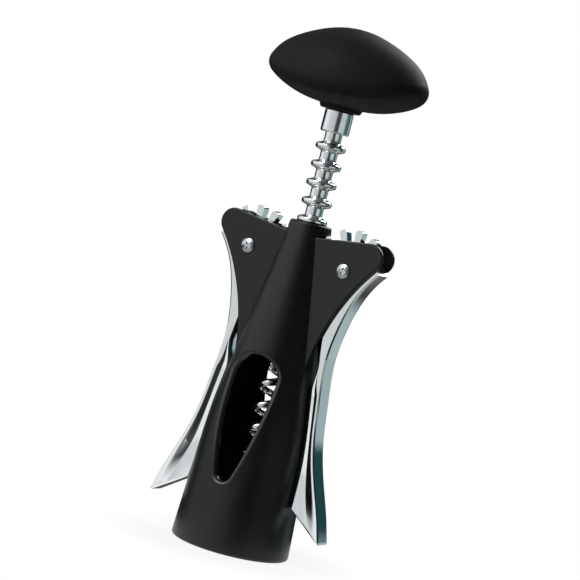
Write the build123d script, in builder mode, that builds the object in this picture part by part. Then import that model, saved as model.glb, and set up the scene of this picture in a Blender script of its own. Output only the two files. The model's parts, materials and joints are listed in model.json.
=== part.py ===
from build123d import *
import math
import os

os.makedirs("parts", exist_ok=True)

# Lever corkscrew, standing on the rim of its bell. Millimetres, +Z up, X across the two levers,
# front at -Y. The origin is the centre of the rim. The levers are down and the spindle is up.

# Bell, tube and collar of the body casting
bell_mouth_radius = 19.6
bell_bore_radius = 16.2
bell_bore_depth = 22.0
waist_radius = 17.4
waist_height = 40.8
waist_blend = 150.0
collar_radius = 6.8
collar_height = 108.6
bell_wall = 2.1
rim_round = 0.9
collar_round = 0.7
cut_past = 1.0

# Teardrop windows, front and back
window_top = 63.9
window_radius = 7.35
window_side_radius = 110.0
window_tip_round = 2.6
window_edge_round = 1.3

# Rack and lever teeth
rack_pitch = 6.1
gear_teeth = 14
rack_pitch_radius = 4.1
rack_ring_radius = 5.0
rack_core_radius = 2.85
rack_ring_width = 2.2
rack_ring_round = 0.75
rack_ring_sink = 0.5
rack_top_gap = 4.7
pressure_angle = 20.0
tooth_backlash = 0.85
tooth_tip_radius_gap = 1.1
tooth_root_gap = 2.8
tooth_root_sink = 0.3
tooth_tip_round = 0.8
tooth_count = 6
tooth_face_width = 3.6
rack_travel = 29.0
guide_clearance = 0.3
knob_down_gap = 0.9

# Pivots and ears
pivot_height = 96.5
lever_width = 7.4
lever_side_gap = 0.4
ear_plate = 1.1
ear_edge_round = 0.5
ear_top_slope = 7.6
ear_corner_reach = 20.5
ear_corner_rise = 12.6
ear_end_round = 4.6
ear_sweep_reach = 1.6
ear_sweep_drop = 11.7
ear_foot_height = 57.3
ear_foot_sink = 1.9
gear_slot_gap = 0.5

# Pivot screw, its barrel, and the lever's bush and washers
barrel_radius = 2.0
barrel_head_radius = 2.6
barrel_head_height = 1.0
barrel_head_round = 0.6
screw_radius = 1.2
screw_head_radius = 2.3
screw_head_height = 1.1
screw_dome_rise = 0.7
screw_end_gap = 2.1
screw_recess_length = 2.5
screw_recess_width = 0.6
screw_recess_depth = 0.6
bush_wall = 1.1
washer_radius = 4.4
washer_thickness = 0.25
running_clearance = 0.05

# Lever arm
hub_start_angle = 43.0
hub_exit_angle = 245.0
hub_corner_reach = 11.9
hub_corner_rise = 1.7
finger_gap = 2.3
lever_heel_height = 18.2
lever_edge_round = 0.6
lever_shoulder_reach = 5.8
lever_shoulder_drop = 7.8
lever_upper_widths = [(0.148, 5.27), (0.31, 2.61)]
lever_lower_widths = [(0.474, 2.25), (0.636, 2.24), (0.8, 4.3), (0.962, 7.85)]
lever_tip_reach = 11.2
lever_tip_drop = 8.5
flute_ridge = 0.9
flute_lip = 0.35
flute_start_share = 0.31
flute_start_width = 0.5
flute_start_depth = 0.04
flute_depths = [0.4, 0.45, 1.0, 1.35]
flute_end_depth = 1.5
flute_end_reach = 0.7
flute_end_drop = 2.0

# Spindle below the rack, stop washer, pin and worm
spindle_land_length = 6.0
spindle_land_gap = 1.0
spindle_neck_radius = 2.3
spindle_neck_length = 5.1
spindle_end_height = 67.5
stop_washer_radius = 7.0
stop_washer_thickness = 1.0
stop_washer_gap = 0.4
stop_washer_clearance = 0.15
pin_radius = 0.6
pin_rise = 1.8
worm_wire_radius = 1.25
worm_radius = 4.7
worm_pitch = 7.4
worm_tip_height = 26.0
worm_point_length = 3.5
worm_point_radius = 0.12
worm_shank_length = 8.0
worm_shank_gap = 0.3
worm_lead_in = 3.2

# Ferrule, knob and its fastening
ferrule_radius = 4.75
ferrule_height = 7.4
ferrule_step = 1.5
ferrule_round = 0.5
spindle_top_radius = 2.5
knob_length = 55.8
knob_tip_depth = 6.5
knob_equator_rise = 12.4
knob_dome_rise = 14.5
knob_dome_shape = [
    (0.0, 1.0),
    (0.38, 0.875),
    (0.667, 0.645),
    (0.858, 0.385),
    (0.955, 0.127),
    (1.0, -0.2),
]
knob_dish_shape = [(0.0, -1.0), (10.4, -0.6), (18.2, 1.5), (23.4, 4.2), (28.8, 12.0)]
knob_dish_rim = (0.3, 1.0)
knob_boss_radius = 6.9
knob_boss_height = 2.4
knob_edge_round = 4.0
knob_floor = 2.5
knob_pocket_radius = 14.0
knob_pocket_rise = 7.0
knob_seam = 0.1
nut_flat_radius = 4.5
nut_height = 4.0
lock_washer_radius = 5.0
lock_washer_thickness = 0.9
nut_stand_out = 0.8

# Sizes that follow from those above
gear_pitch_radius = gear_teeth * rack_pitch / (2 * math.pi)
pivot_x = rack_pitch_radius + gear_pitch_radius
gear_tip_radius = gear_pitch_radius + rack_pitch_radius - rack_core_radius - tooth_tip_radius_gap
gear_root_radius = pivot_x - rack_ring_radius - tooth_root_gap
gear_base_radius = gear_pitch_radius * math.cos(math.radians(pressure_angle))
flank_slope = math.tan(math.radians(pressure_angle))
tooth_width = rack_pitch - rack_ring_width - 2 * tooth_backlash
guide_bore_radius = rack_ring_radius + guide_clearance
lever_half = lever_width / 2
ear_gap_half = lever_half + lever_side_gap
ear_half = ear_gap_half + ear_plate
ferrule_bottom = collar_height + rack_travel + knob_down_gap
ferrule_top = ferrule_bottom + ferrule_height
rack_top_ring_height = ferrule_bottom - rack_top_gap
knob_floor_height = ferrule_top + knob_boss_height
knob_equator_height = ferrule_top + knob_equator_rise
bush_bore_radius = barrel_radius + running_clearance
bush_radius = bush_bore_radius + bush_wall
worm_coil_radius = worm_radius - worm_wire_radius
neck_top = spindle_end_height + spindle_neck_length
cavity_height = neck_top + stop_washer_gap
screw_length = 2 * ear_half - screw_end_gap
screw_dome_radius = (screw_head_radius**2 + screw_dome_rise**2) / (2 * screw_dome_rise)


def bell_radius(height):
    """Outside radius of the bell and tube at a height, without the blend at the waist."""
    below = bell_mouth_radius + (waist_radius - bell_mouth_radius) * height / waist_height
    share = (height - waist_height) / (collar_height - waist_height)
    above = waist_radius + (collar_radius - waist_radius) * share
    return min(below, above)


def on_pivot_circle(radius, degrees):
    """Point at a radius and angle about the right pivot, in X and Z."""
    angle = math.radians(degrees)
    return (pivot_x + radius * math.cos(angle), pivot_height + radius * math.sin(angle))


def is_outside(edge):
    """Whether an edge lies on the outside of the bell, away from its cavity."""
    middle = edge.position_at(0.5)
    return math.hypot(middle.X, middle.Y) > bell_radius(middle.Z) - bell_wall / 3


def write(piece, name):
    """Label a finished piece and write its file."""
    piece.label = name
    export_step(piece, f"parts/{name}.step")


# Ear plate at the front right: a lobe round the pivot, with an edge that sweeps down into the bell.
ear_corner = (pivot_x + ear_corner_reach, pivot_height + ear_corner_rise)
ear_root = (0.0, ear_corner[1] - ear_corner[0] * math.tan(math.radians(ear_top_slope)))
ear_sweep = (pivot_x + ear_sweep_reach, pivot_height - ear_sweep_drop)
ear_foot = (bell_radius(ear_foot_height) - ear_foot_sink, ear_foot_height)

with BuildPart() as ear:
    with BuildSketch(Plane.XZ.offset(ear_gap_half)) as ear_sketch:
        with BuildLine():
            Polyline(ear_foot, (0.0, ear_foot_height), ear_root, ear_corner)
            ThreePointArc(ear_corner, ear_sweep, ear_foot)
        make_face()
        fillet(ear_sketch.vertices().sort_by(Axis.X)[-1], ear_end_round)
    extrude(amount=ear_plate)
    outer_face = ear.faces().sort_by(Axis.Y)[0]
    fillet(outer_face.edges().sort_by_distance((0.0, -ear_half, 0.0))[2:], ear_edge_round)

# Body casting: bell, tube and collar turned about Z, with the ears, windows and gear slots.
window_centre = window_top - window_radius
window_drop = math.sqrt(2 * window_side_radius * window_radius - window_radius**2)
window_tip = (0.0, window_centre - window_drop)
window_flank_z = window_centre - window_drop / 2
window_flank_x = window_radius - window_side_radius
window_flank_x += math.sqrt(window_side_radius**2 - (window_drop / 2) ** 2)

with BuildPart() as body_casting:
    with BuildSketch(Plane.XZ) as bell_sketch:
        with BuildLine():
            Polyline(
                (0.0, 0.0),
                (bell_mouth_radius, 0.0),
                (waist_radius, waist_height),
                (collar_radius, collar_height),
                (0.0, collar_height),
                close=True,
            )
        make_face()
        for corner, blend in (
            ((waist_radius, waist_height), waist_blend),
            ((bell_mouth_radius, 0.0), rim_round),
            ((collar_radius, collar_height), collar_round),
        ):
            fillet(bell_sketch.vertices().sort_by_distance(corner)[0], blend)
    revolve(axis=Axis.Z)
    front_right = ear.part
    front_left = mirror(front_right, about=Plane.YZ)
    add([front_right, front_left])
    add([mirror(front_right, about=Plane.XZ), mirror(front_left, about=Plane.XZ)])
    with BuildSketch(Plane.XZ):
        with BuildLine():
            Polyline(
                (0.0, -cut_past),
                (bell_bore_radius, -cut_past),
                (bell_bore_radius, bell_bore_depth),
                (waist_radius - bell_wall, waist_height),
                (bell_radius(cavity_height) - bell_wall, cavity_height),
                (guide_bore_radius, cavity_height),
                (guide_bore_radius, collar_height + cut_past),
                (0.0, collar_height + cut_past),
                close=True,
            )
        make_face()
    revolve(axis=Axis.Z, mode=Mode.SUBTRACT)
    with BuildSketch(Plane.XZ):
        with Locations((pivot_x, pivot_height), (-pivot_x, pivot_height)):
            Circle(gear_tip_radius + gear_slot_gap)
    extrude(amount=ear_gap_half, both=True, mode=Mode.SUBTRACT)
    with BuildSketch(Plane.XZ):
        with Locations((pivot_x, pivot_height), (-pivot_x, pivot_height)):
            Circle(barrel_radius + running_clearance)
    extrude(amount=ear_half + cut_past, both=True, mode=Mode.SUBTRACT)
    with BuildSketch(Plane.XZ) as window_sketch:
        with BuildLine():
            ThreePointArc(
                (window_radius, window_centre), (0.0, window_top), (-window_radius, window_centre)
            )
            ThreePointArc(
                (-window_radius, window_centre), (-window_flank_x, window_flank_z), window_tip
            )
            ThreePointArc(window_tip, (window_flank_x, window_flank_z), (window_radius, window_centre))
        make_face()
        fillet(window_sketch.vertices().sort_by_distance(window_tip)[0], window_tip_round)
    extrude(amount=2 * bell_mouth_radius, both=True, mode=Mode.SUBTRACT)
    rims = body_casting.edges(Select.LAST).filter_by(is_outside)
    fillet(rims.filter_by(GeomType.CIRCLE, reverse=True), window_edge_round)
write(body_casting.part, "body_casting")

# Pivot hardware: screw from the front, barrel from the back, and a washer each side of the lever.
sides = {"left": -1, "right": 1}
barrel_end = ear_half - running_clearance

for side, sign in sides.items():
    pivot_front = Plane((sign * pivot_x, -ear_half, pivot_height), x_dir=(1, 0, 0), z_dir=(0, -1, 0))
    pivot_rear = Plane((sign * pivot_x, ear_half, pivot_height), x_dir=(1, 0, 0), z_dir=(0, 1, 0))
    pivot_mid = Plane((sign * pivot_x, 0, pivot_height), x_dir=(1, 0, 0), z_dir=(0, -1, 0))

    with BuildPart() as pivot_screw:
        with BuildSketch(pivot_front):
            Circle(screw_head_radius)
        extrude(amount=screw_head_height)
        with Locations(pivot_front.offset(screw_head_height - screw_dome_radius)):
            Sphere(screw_dome_radius, mode=Mode.INTERSECT)
        with BuildSketch(pivot_front.offset(screw_head_height)):
            Rectangle(screw_recess_length, screw_recess_width)
            Rectangle(screw_recess_width, screw_recess_length)
        extrude(amount=-screw_recess_depth, mode=Mode.SUBTRACT)
        with BuildSketch(pivot_front):
            Circle(screw_radius)
        extrude(amount=-screw_length)
    write(pivot_screw.part, f"pivot_screw_{side}")

    with BuildPart() as pivot_barrel:
        with BuildSketch(pivot_rear):
            Circle(barrel_head_radius)
        extrude(amount=barrel_head_height)
        fillet(pivot_barrel.edges().sort_by(Axis.Y)[-1], barrel_head_round)
        with BuildSketch(pivot_rear):
            Circle(barrel_radius)
        extrude(amount=-(ear_half + barrel_end))
        with BuildSketch(pivot_front):
            Circle(screw_radius + running_clearance)
        extrude(amount=-(screw_length + running_clearance), mode=Mode.SUBTRACT)
    write(pivot_barrel.part, f"pivot_barrel_{side}")

    with BuildPart() as lever_washers:
        for face in (-1, 1):
            washer_plane = pivot_mid.offset(face * (ear_gap_half - running_clearance))
            with BuildSketch(washer_plane):
                Circle(washer_radius)
                Circle(bush_bore_radius, mode=Mode.SUBTRACT)
            extrude(amount=-face * washer_thickness)
    write(lever_washers.part, f"lever_washers_{side}")

    with BuildPart() as lever_bush:
        with BuildSketch(pivot_mid):
            Circle(bush_radius)
            Circle(bush_bore_radius, mode=Mode.SUBTRACT)
        extrude(amount=lever_half, both=True)
    write(lever_bush.part, f"lever_bush_{side}")

# Lever: a toothed hub and a slim arm that hangs outside the bell and flares at its tip.
hub_start = on_pivot_circle(gear_root_radius, hub_start_angle)
hub_exit = on_pivot_circle(gear_root_radius, hub_exit_angle)
hub_crown = on_pivot_circle(gear_root_radius, (hub_start_angle + hub_exit_angle) / 2)
hub_corner = (pivot_x + hub_corner_reach, pivot_height + hub_corner_rise)
arm_waist = (waist_radius + finger_gap, waist_height)
arm_heel = (bell_radius(lever_heel_height) + finger_gap, lever_heel_height)
arm_shoulder = (pivot_x + lever_shoulder_reach, pivot_height - lever_shoulder_drop)
arm_tip = (arm_heel[0] + lever_tip_reach, arm_heel[1] - lever_tip_drop)


def arm_inner_x(height):
    """X of the arm's inner edge at a height."""
    start, end = (hub_exit, arm_waist) if height > waist_height else (arm_waist, arm_heel)
    return start[0] + (end[0] - start[0]) * (height - start[1]) / (end[1] - start[1])


def arm_height(share):
    """Height on the arm at a share of the drop from the hub to the heel."""
    return hub_exit[1] + (arm_heel[1] - hub_exit[1]) * share


def arm_edge(widths):
    """Points of the arm's outer edge, where it has the given widths."""
    heights = [arm_height(share) for share, _ in widths]
    return [(arm_inner_x(z) + width, z) for z, (_, width) in zip(heights, widths)]


def tooth_half_angle(radius):
    """Half of a lever tooth's angle at a radius, in radians, on an involute flank."""
    pitch_half = tooth_width / 2 / gear_pitch_radius
    tangent = math.tan(math.radians(pressure_angle))
    if radius <= gear_base_radius:
        return pitch_half + tangent - math.radians(pressure_angle)
    angle = math.acos(gear_base_radius / radius)
    return pitch_half + (tangent - math.radians(pressure_angle)) - (math.tan(angle) - angle)


def is_tooth_tip(edge):
    """Whether an edge along Y lies at the tip of a lever tooth."""
    middle = edge.position_at(0.5)
    radius = math.hypot(middle.X - pivot_x, middle.Z - pivot_height)
    return abs(radius - gear_tip_radius) < tooth_tip_round / 10


# A rack ring's gap meets the tooth below it, so the teeth follow from where the rings stand.
first_gap = rack_top_ring_height - rack_pitch / 2
gaps_to_pivot = math.ceil((first_gap - pivot_height) / rack_pitch)
lowest_gap = first_gap - gaps_to_pivot * rack_pitch
tooth_angles = [
    math.pi - (lowest_gap + index * rack_pitch - pivot_height) / gear_pitch_radius
    for index in range(tooth_count)
]
flank_radii = [
    gear_root_radius - tooth_root_sink,
    gear_base_radius,
    gear_pitch_radius,
    gear_tip_radius,
]

# Flute sections: a start as fine as a scratch, one at each width of the lower arm, and one past the
# tip. Each has its height, the two edges of the flute and its depth.
arm_upper_edge = [arm_shoulder, *arm_edge(lever_upper_widths)]
arm_lower_edge = arm_edge(lever_lower_widths)
flute_top_z = arm_height(flute_start_share)
flute_top_x = arm_inner_x(flute_top_z) + flute_lip
flute_end_z = arm_tip[1] - flute_end_drop
flute_end_x = arm_tip[0] + flute_end_reach - flute_ridge
flute_sections = [(flute_top_z, flute_top_x, flute_top_x + flute_start_width, flute_start_depth)]
for (outer_x, outer_z), depth in zip(arm_lower_edge, flute_depths):
    flute_sections.append((outer_z, arm_inner_x(outer_z) + flute_lip, outer_x - flute_ridge, depth))
flute_sections.append((flute_end_z, arm_inner_x(flute_end_z) + flute_lip, flute_end_x, flute_end_depth))

with BuildPart() as lever_right:
    with BuildSketch(Plane.XZ.offset(lever_half)):
        with BuildLine():
            ThreePointArc(hub_start, hub_crown, hub_exit)
            Polyline(hub_exit, arm_waist, arm_heel, arm_tip)
            Spline(arm_tip, *reversed(arm_upper_edge + arm_lower_edge), hub_corner)
            Line(hub_corner, hub_start)
        make_face()
    extrude(amount=-lever_width)
    face_edges = lever_right.edges().filter_by(Axis.Y, reverse=True)
    fillet(face_edges.filter_by_position(Axis.Z, arm_heel[1], hub_exit[1]), lever_edge_round)
    with BuildSketch(Plane.XZ.offset(tooth_face_width / 2)):
        for angle in tooth_angles:
            right_flank = []
            left_flank = []
            for radius in flank_radii:
                half = tooth_half_angle(radius)
                right_flank.append(on_pivot_circle(radius, math.degrees(angle - half)))
                left_flank.append(on_pivot_circle(radius, math.degrees(angle + half)))
            tip = on_pivot_circle(gear_tip_radius, math.degrees(angle))
            with BuildLine():
                Spline(*right_flank)
                ThreePointArc(right_flank[-1], tip, left_flank[-1])
                Spline(*left_flank)
                Line(left_flank[0], right_flank[0])
            make_face()
    extrude(amount=-tooth_face_width)
    fillet(lever_right.edges().filter_by(Axis.Y).filter_by(is_tooth_tip), tooth_tip_round)
    for face in (-1, 1):
        sections = []
        for height, inner_x, outer_x, depth in flute_sections:
            with BuildSketch(Plane.XY.offset(height)) as flute:
                with BuildLine():
                    ThreePointArc(
                        (inner_x, face * lever_half),
                        ((inner_x + outer_x) / 2, face * (lever_half - depth)),
                        (outer_x, face * lever_half),
                    )
                    Polyline(
                        (outer_x, face * lever_half),
                        (outer_x, face * (lever_half + cut_past)),
                        (inner_x, face * (lever_half + cut_past)),
                        (inner_x, face * lever_half),
                    )
                make_face()
            sections.append(flute.sketch.faces()[0])
        loft(sections, mode=Mode.SUBTRACT)
    with BuildSketch(Plane.XZ):
        with Locations((pivot_x, pivot_height)):
            Circle(bush_radius)
    extrude(amount=lever_width, both=True, mode=Mode.SUBTRACT)
write(lever_right.part, "lever_right")

lever_left = mirror(lever_right.part, about=Plane.YZ)
write(lever_left, "lever_left")

# Rack shaft: a core with ring teeth, a land that guides its lower end, and a threaded top.
ring_top_half = rack_ring_width / 2 - (rack_ring_radius - rack_pitch_radius) * flank_slope
ring_foot_half = rack_ring_width / 2 + (rack_pitch_radius - rack_core_radius) * flank_slope
ring_root_radius = rack_core_radius - rack_ring_sink
land_bottom = cavity_height + spindle_land_gap
land_top = land_bottom + spindle_land_length
ring_span = rack_top_ring_height - ring_foot_half - land_top
rack_ring_count = math.floor(ring_span / rack_pitch) + 1
nut_bottom = knob_floor_height + knob_floor + lock_washer_thickness
spindle_top = nut_bottom + nut_height + nut_stand_out
ferrule_seat = ferrule_bottom + ferrule_step

with BuildPart() as rack_shaft:
    with BuildSketch(Plane.XZ):
        with BuildLine():
            Polyline(
                (0.0, spindle_end_height),
                (spindle_neck_radius, spindle_end_height),
                (spindle_neck_radius, neck_top),
                (rack_core_radius, neck_top),
                (rack_core_radius, ferrule_seat),
                (spindle_top_radius, ferrule_seat),
                (spindle_top_radius, spindle_top),
                (0.0, spindle_top),
                close=True,
            )
        make_face()
        with BuildLine():
            Polyline(
                (ring_root_radius, land_bottom),
                (rack_ring_radius, land_bottom),
                (rack_ring_radius, land_top),
                (ring_root_radius, land_top),
                close=True,
            )
        make_face()
        for index in range(rack_ring_count):
            height = rack_top_ring_height - index * rack_pitch
            with BuildLine():
                Polyline(
                    (ring_root_radius, height - ring_foot_half),
                    (rack_core_radius, height - ring_foot_half),
                    (rack_ring_radius, height - ring_top_half),
                    (rack_ring_radius, height + ring_top_half),
                    (rack_core_radius, height + ring_foot_half),
                    (ring_root_radius, height + ring_foot_half),
                    close=True,
                )
            make_face()
    revolve(axis=Axis.Z)
    ring_edges = rack_shaft.edges().filter_by(GeomType.CIRCLE).group_by(SortBy.RADIUS)[-1]
    fillet(ring_edges, rack_ring_round)
    with BuildSketch(Plane.XY.offset(spindle_end_height)):
        Circle(worm_wire_radius + running_clearance)
    extrude(amount=worm_shank_length, mode=Mode.SUBTRACT)
    with BuildSketch(Plane.XZ):
        with Locations((0.0, spindle_end_height + pin_rise)):
            Circle(pin_radius + running_clearance)
    extrude(amount=2 * spindle_neck_radius, both=True, mode=Mode.SUBTRACT)
write(rack_shaft.part, "rack_shaft")

with BuildPart() as worm_pin:
    with BuildSketch(Plane.XZ):
        with Locations((0.0, spindle_end_height + pin_rise)):
            Circle(pin_radius)
    extrude(amount=spindle_neck_radius + pin_radius, both=True)
write(worm_pin.part, "worm_pin")

with BuildPart() as stop_washer:
    with BuildSketch(Plane.XY.offset(neck_top - stop_washer_clearance)):
        Circle(stop_washer_radius)
        Circle(spindle_neck_radius + stop_washer_clearance, mode=Mode.SUBTRACT)
    extrude(amount=-stop_washer_thickness)
write(stop_washer.part, "stop_washer")

# Worm: a straight shank that swings out into a right-hand coil over its first turn.
worm_top = spindle_end_height + worm_shank_length - worm_shank_gap
worm_turns_height = spindle_end_height - worm_lead_in
worm_turns = (worm_turns_height - worm_tip_height - worm_point_length / 2) / worm_pitch


def worm_point(turn):
    """Point of the worm's centre line after a number of turns down from the shank."""
    grow = min(turn, 1.0)
    radius = worm_coil_radius * grow * grow * (3 - 2 * grow)
    angle = -2 * math.pi * turn
    return Vector(
        radius * math.cos(angle), radius * math.sin(angle), worm_turns_height - worm_pitch * turn
    )


def worm_direction(turn):
    """Direction of the worm's centre line, downwards."""
    step = 0.001
    return (worm_point(turn + step) - worm_point(max(turn - step, 0.0))).normalized()


arcs_per_turn = 4
arc_pairs = math.ceil(worm_turns * arcs_per_turn)
stations = [worm_turns * index / arc_pairs for index in range(arc_pairs + 1)]
start_direction = Vector(0, 0, -1)

with BuildPart() as worm:
    with BuildLine() as worm_line:
        Line((0, 0, worm_top), worm_point(0.0))
        for first, last in zip(stations, stations[1:]):
            start, end = worm_point(first), worm_point(last)
            heading = worm_direction(first) if first > 0 else start_direction
            leaving = worm_direction(last)
            chord = end - start
            both = heading + leaving
            spread = 2 * (1 - heading.dot(leaving))
            along = chord.dot(both)
            reach = (math.sqrt(along**2 + spread * chord.dot(chord)) - along) / spread
            middle = (start + end + (heading - leaving) * reach) * 0.5
            middle_heading = (end - leaving * reach) - (start + heading * reach)
            TangentArc(start, middle, tangent=heading)
            TangentArc(middle, end, tangent=middle_heading)
    with BuildSketch(Plane((0, 0, worm_top), z_dir=(0, 0, -1))):
        Circle(worm_wire_radius)
    sweep(path=worm_line.wires()[0])
    worm_end = Plane(worm_point(worm_turns), z_dir=worm_direction(worm_turns))
    with Locations(worm_end):
        Cone(
            worm_wire_radius,
            worm_point_radius,
            worm_point_length,
            align=(Align.CENTER, Align.CENTER, Align.MIN),
        )
    with BuildSketch(Plane.XZ):
        with Locations((0.0, spindle_end_height + pin_rise)):
            Circle(pin_radius + running_clearance)
    extrude(amount=2 * worm_wire_radius, both=True, mode=Mode.SUBTRACT)
worm_length = worm_line.wires()[0].length
wire_volume = math.pi * worm_wire_radius**2 * worm_length
print(f"worm: {worm.part.volume:.1f} mm3, wire section times length {wire_volume:.1f} mm3")
write(worm.part, "worm")

# Ferrule: a bright collar that sits on the spindle's step, under the knob.
with BuildPart() as ferrule:
    with BuildSketch(Plane.XY.offset(ferrule_bottom)):
        Circle(ferrule_radius)
    extrude(amount=ferrule_height)
    fillet(ferrule.edges().filter_by(GeomType.CIRCLE), ferrule_round)
    with BuildSketch(Plane.XY.offset(ferrule_bottom)):
        Circle(rack_core_radius + running_clearance)
    extrude(amount=ferrule_step, mode=Mode.SUBTRACT)
    with BuildSketch(Plane.XY.offset(ferrule_bottom)):
        Circle(spindle_top_radius + running_clearance)
    extrude(amount=ferrule_height, mode=Mode.SUBTRACT)
write(ferrule.part, "ferrule")


# Knob: a long dome, round about X, cut below by a shallow dish that is round about Z. The dish meets
# the dome in a soft crease, which dips from both tips to the front and back. The dome is drawn below
# its axis, so that its seam goes away with the cut.
knob_half = knob_length / 2
knob_axis_height = knob_equator_height - knob_tip_depth
knob_dome_points = [
    (share * knob_half, -knob_tip_depth - rise * knob_dome_rise) for share, rise in knob_dome_shape
]
knob_dish_points = [(radius, knob_floor_height + rise) for radius, rise in knob_dish_shape]
knob_cut_floor = knob_axis_height - knob_tip_depth - knob_dome_rise - cut_past
pocket_top = knob_equator_height + knob_pocket_rise

with BuildSketch(Plane.YZ) as knob_dish:
    with BuildLine():
        Spline(*knob_dish_points, tangents=[(1.0, 0.0), knob_dish_rim])
        Polyline(
            knob_dish_points[-1],
            (knob_dish_points[-1][0], knob_cut_floor),
            (0.0, knob_cut_floor),
            knob_dish_points[0],
        )
    make_face()

with BuildPart() as knob_shell:
    with BuildSketch(Plane((0.0, 0.0, knob_axis_height), x_dir=(1, 0, 0), z_dir=(0, -1, 0))):
        with BuildLine():
            Spline(*knob_dome_points, tangents=[(1.0, 0.0), (0.0, 1.0)])
            Polyline(knob_dome_points[-1], (knob_half, 0.0), (0.0, 0.0), knob_dome_points[0])
        make_face()
        mirror(about=Plane.YZ)
    revolve(axis=Axis((0.0, 0.0, knob_axis_height), (1.0, 0.0, 0.0)))
    revolve(knob_dish.sketch, axis=Axis.Z, mode=Mode.SUBTRACT)
    fillet(knob_shell.edges().sort_by(SortBy.LENGTH)[-1], knob_edge_round)
    with BuildSketch(Plane.XZ):
        with BuildLine():
            Polyline(
                (0.0, ferrule_top),
                (knob_pocket_radius, ferrule_top),
                (knob_pocket_radius, knob_equator_height),
                (knob_boss_radius, pocket_top),
                (0.0, pocket_top),
                close=True,
            )
        make_face()
    revolve(axis=Axis.Z, mode=Mode.SUBTRACT)
write(knob_shell.part, "knob_shell")

with BuildPart() as knob_base:
    with BuildSketch(Plane.XY.offset(ferrule_top)):
        Circle(knob_pocket_radius - knob_seam)
    extrude(amount=knob_boss_height + knob_floor)
    revolve(knob_dish.sketch, axis=Axis.Z, mode=Mode.SUBTRACT)
    with BuildSketch(Plane.XY.offset(ferrule_top)):
        Circle(knob_boss_radius)
    extrude(amount=knob_boss_height)
    with BuildSketch(Plane.XY.offset(ferrule_top)):
        Circle(spindle_top_radius + running_clearance)
    extrude(amount=2 * knob_equator_rise, mode=Mode.SUBTRACT)
write(knob_base.part, "knob_base")

with BuildPart() as knob_lock_washer:
    with BuildSketch(Plane.XY.offset(knob_floor_height + knob_floor)):
        Circle(lock_washer_radius)
        Circle(spindle_top_radius + running_clearance, mode=Mode.SUBTRACT)
    extrude(amount=lock_washer_thickness)
write(knob_lock_washer.part, "knob_lock_washer")

with BuildPart() as knob_nut:
    with BuildSketch(Plane.XY.offset(nut_bottom)):
        RegularPolygon(nut_flat_radius, 6, major_radius=False)
        Circle(spindle_top_radius + running_clearance, mode=Mode.SUBTRACT)
    extrude(amount=nut_height)
write(knob_nut.part, "knob_nut")
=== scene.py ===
"""Looks of a lever corkscrew: enamelled body, moulded knob, chromed levers and spindle, steel worm.

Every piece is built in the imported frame, in metres, and rides on the body that carries it. Sizes in
the classes are millimetres, and what the frame already knows is read from its boxes.
"""

from __future__ import annotations

import json
import logging
import math
from dataclasses import dataclass
from enum import Enum
from typing import Any, Callable, Iterable, Sequence

import bmesh
import bpy
import numpy as np
from mathutils import Matrix, Vector
from mathutils.bvhtree import BVHTree

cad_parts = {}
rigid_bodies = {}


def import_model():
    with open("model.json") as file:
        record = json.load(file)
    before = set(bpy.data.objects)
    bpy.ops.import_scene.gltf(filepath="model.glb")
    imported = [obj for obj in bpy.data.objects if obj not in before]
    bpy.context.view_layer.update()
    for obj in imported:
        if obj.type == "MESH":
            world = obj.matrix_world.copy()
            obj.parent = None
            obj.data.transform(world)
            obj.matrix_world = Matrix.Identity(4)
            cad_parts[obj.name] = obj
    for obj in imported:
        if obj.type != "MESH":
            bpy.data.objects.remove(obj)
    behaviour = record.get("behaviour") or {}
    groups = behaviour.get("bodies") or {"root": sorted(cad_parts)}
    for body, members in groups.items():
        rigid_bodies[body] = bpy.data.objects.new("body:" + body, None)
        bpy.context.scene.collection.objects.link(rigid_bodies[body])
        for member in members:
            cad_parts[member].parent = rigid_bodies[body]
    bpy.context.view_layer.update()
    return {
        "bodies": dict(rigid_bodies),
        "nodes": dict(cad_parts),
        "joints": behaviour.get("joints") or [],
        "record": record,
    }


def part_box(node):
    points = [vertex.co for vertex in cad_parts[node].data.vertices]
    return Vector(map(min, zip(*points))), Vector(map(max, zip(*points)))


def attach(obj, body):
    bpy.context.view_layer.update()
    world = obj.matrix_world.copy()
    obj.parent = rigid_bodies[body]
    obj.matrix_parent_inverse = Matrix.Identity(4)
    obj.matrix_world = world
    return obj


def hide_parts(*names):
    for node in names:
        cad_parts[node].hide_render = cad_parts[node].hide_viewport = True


LOG = logging.getLogger("corkscrew")
MM = 0.001
MERGE_DISTANCE = 0.001 * MM
# Degrees past which an edge of a casting, a knob or a fastener stays sharp.
SHARP_DEGREES = 28.0
# A flat faces forward or back at least this squarely, and lies this many millimetres off the axis.
PLATE_FACING = 0.99999
PLATE_REACH = 8.0
# A wave texture turns its sine by this many radians for each unit of its coordinates.
WAVE_RADIANS = 20.0
# How strongly a modifier weighs normals towards large faces, at its most.
FACE_WEIGHT = 100
WHITE = "#ffffff"
Point = tuple[float, float]
Colour = tuple[float, float, float, float]
# The size of a pattern's features in millimetres, and its detail.
Pattern = tuple[float, float]
# Degrees to the right of the camera, and the room's colour there, in rising order.
Tones = tuple[tuple[float, str], ...]


class Body(Enum):
    """Bodies of the frame that pieces ride on."""

    FRAME = "frame"
    SPINDLE = "spindle"
    LEFT_LEVER = "left_lever"
    RIGHT_LEVER = "right_lever"


class Slot(Enum):
    """Material slots of the record."""

    CASTING = "black_casting"
    KNOB = "black_knob"
    LEVER = "bright_casting"
    SPINDLE = "spindle_chrome"
    WORM = "worm_steel"
    SCREW = "screw_steel"
    BRASS = "brass"
    NYLON = "nylon"


class Coat(Enum):
    """Coats of the body casting, with their places among its materials."""

    ENAMEL = 0
    # Painted shade: a darker, duller black inside the bell.
    OVERSPRAY = 1
    # Painted highlight: a glossier, lighter black on the windows' rims.
    RUBBED_RIM = 2


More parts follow.
